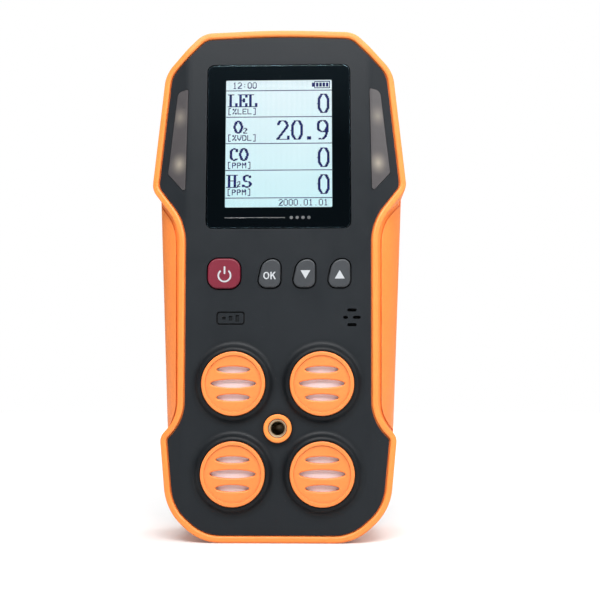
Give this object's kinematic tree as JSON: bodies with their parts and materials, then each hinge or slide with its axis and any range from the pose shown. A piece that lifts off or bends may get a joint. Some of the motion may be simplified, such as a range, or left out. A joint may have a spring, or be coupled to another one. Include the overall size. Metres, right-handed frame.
{
  "type": "portable gas detector",
  "caption": "Handheld multi-gas detector: display and keypad over round sensor caps, orange rubber bumper, threaded calibration insert and sprung belt clip.",
  "frame": {"origin": "Middle of the bounding box's underside: the instrument stands on the flat end of its foot.", "axes": "+Z from the foot to the crown, +X to the right of someone reading the display, and the display faces -Y."},
  "size_m": [0.066, 0.045, 0.131],
  "materials": {
    "cover_plastic": "fine textured, charcoal",
    "bumper_rubber": "soft matt orange overmould",
    "seal_rubber": "smooth",
    "screw_steel": "dark plated",
    "window_glass": "polished, hard coated",
    "mask_print": "black back-print",
    "adhesive": "foam tape",
    "lcd_glass": "polished",
    "white_plastic": "moulded",
    "flex_film": "amber polyimide film",
    "lens_plastic": "frosted, smoke tinted",
    "led_plastic": "clear yellow lens",
    "switch_plastic": "moulded",
    "board_green": "solder mask",
    "chip_plastic": "moulded",
    "bright_steel": "bright plated",
    "mesh_fabric": "woven acoustic mesh",
    "battery_foil": "laminated foil pouch",
    "dull_steel": "as drawn",
    "insert_brass": "machined",
    "clip_steel": "satin stainless",
    "label_film": "silver film",
    "power_key": "satin red",
    "grey_key": "satin grey",
    "cap_plastic": "fine textured, orange",
    "filter_membrane": "thin porous film",
    "sensor_can": "moulded"
  },
  "bodies": {
    "housing": {"front_cover": "cover_plastic", "rear_cover": "cover_plastic", "front_bumper": "bumper_rubber", "rear_bumper": "bumper_rubber", "housing_gasket": "seal_rubber", "housing_screws": "screw_steel", "display_window": "window_glass", "window_mask": "mask_print", "window_adhesive": "adhesive", "lcd_glass": "lcd_glass", "lcd_frame": "white_plastic", "lcd_flex": "flex_film", "alarm_lens_right": "lens_plastic", "alarm_lens_left": "lens_plastic", "alarm_leds": "led_plastic", "keypad_membrane": "seal_rubber", "tact_switches": "switch_plastic", "main_pcb": "board_green", "main_pcb_chips": "chip_plastic", "usb_socket": "bright_steel", "buzzer": "chip_plastic", "buzzer_mesh": "mesh_fabric", "battery_pack": "battery_foil", "battery_pad": "adhesive", "vibration_motor": "bright_steel", "sensor_pcb": "board_green", "sensor_link_cable": "flex_film", "sensor_gaskets": "seal_rubber", "insert_collar": "bumper_rubber", "threaded_insert": "insert_brass", "clip_bracket": "clip_steel", "clip_pin": "bright_steel", "clip_spring": "dull_steel", "clip_screws": "screw_steel", "rating_label": "label_film", "cap_o2": "cap_plastic", "filter_o2": "filter_membrane", "sensor_o2": "sensor_can", "cap_lel": "cap_plastic", "filter_lel": "filter_membrane", "sensor_lel": "sensor_can", "cap_co": "cap_plastic", "filter_co": "filter_membrane", "sensor_co": "sensor_can", "cap_h2s": "cap_plastic", "filter_h2s": "filter_membrane", "sensor_h2s": "sensor_can"},
    "power_key": {"power_button": "power_key", "power_plunger": "switch_plastic"},
    "ok_key": {"ok_button": "grey_key", "ok_plunger": "switch_plastic"},
    "down_key": {"down_button": "grey_key", "down_plunger": "switch_plastic"},
    "up_key": {"up_button": "grey_key", "up_plunger": "switch_plastic"},
    "belt_clip": {"clip_arm": "clip_steel"},
    "charging_plug": {"port_plug": "bumper_rubber"},
    "motor_weight": {"vibration_weight": "dull_steel"}
  },
  "joints": [
    {"name": "power_press", "type": "slide", "parent": "housing", "child": "power_key", "axis": [0, 1, 0], "range_m": [0, 0.0006], "stiffness_N_per_m": 800, "springref_m": -0.0003, "deforming": ["keypad_membrane"]},
    {"name": "ok_press", "type": "slide", "parent": "housing", "child": "ok_key", "axis": [0, 1, 0], "range_m": [0, 0.0006], "stiffness_N_per_m": 800, "springref_m": -0.0003, "deforming": ["keypad_membrane"]},
    {"name": "down_press", "type": "slide", "parent": "housing", "child": "down_key", "axis": [0, 1, 0], "range_m": [0, 0.0006], "stiffness_N_per_m": 800, "springref_m": -0.0003, "deforming": ["keypad_membrane"]},
    {"name": "up_press", "type": "slide", "parent": "housing", "child": "up_key", "axis": [0, 1, 0], "range_m": [0, 0.0006], "stiffness_N_per_m": 800, "springref_m": -0.0003, "deforming": ["keypad_membrane"]},
    {"name": "clip_pivot", "type": "hinge", "parent": "housing", "child": "belt_clip", "pos_m": [0, 0.0169, 0.1047], "axis": [1, 0, 0], "range_deg": [0, 22], "stiffness_Nm_per_rad": 0.25, "springref_deg": -20.05, "deforming": ["clip_spring"]},
    {"name": "plug_pull", "type": "slide", "parent": "housing", "child": "charging_plug", "axis": [0, 0, 1], "range_m": [0, 0.008]},
    {"name": "weight_spin", "type": "hinge", "parent": "housing", "child": "motor_weight", "pos_m": [0.0051, 0.0059, 0.0525], "axis": [1, 0, 0], "continuous": true}
  ]
}
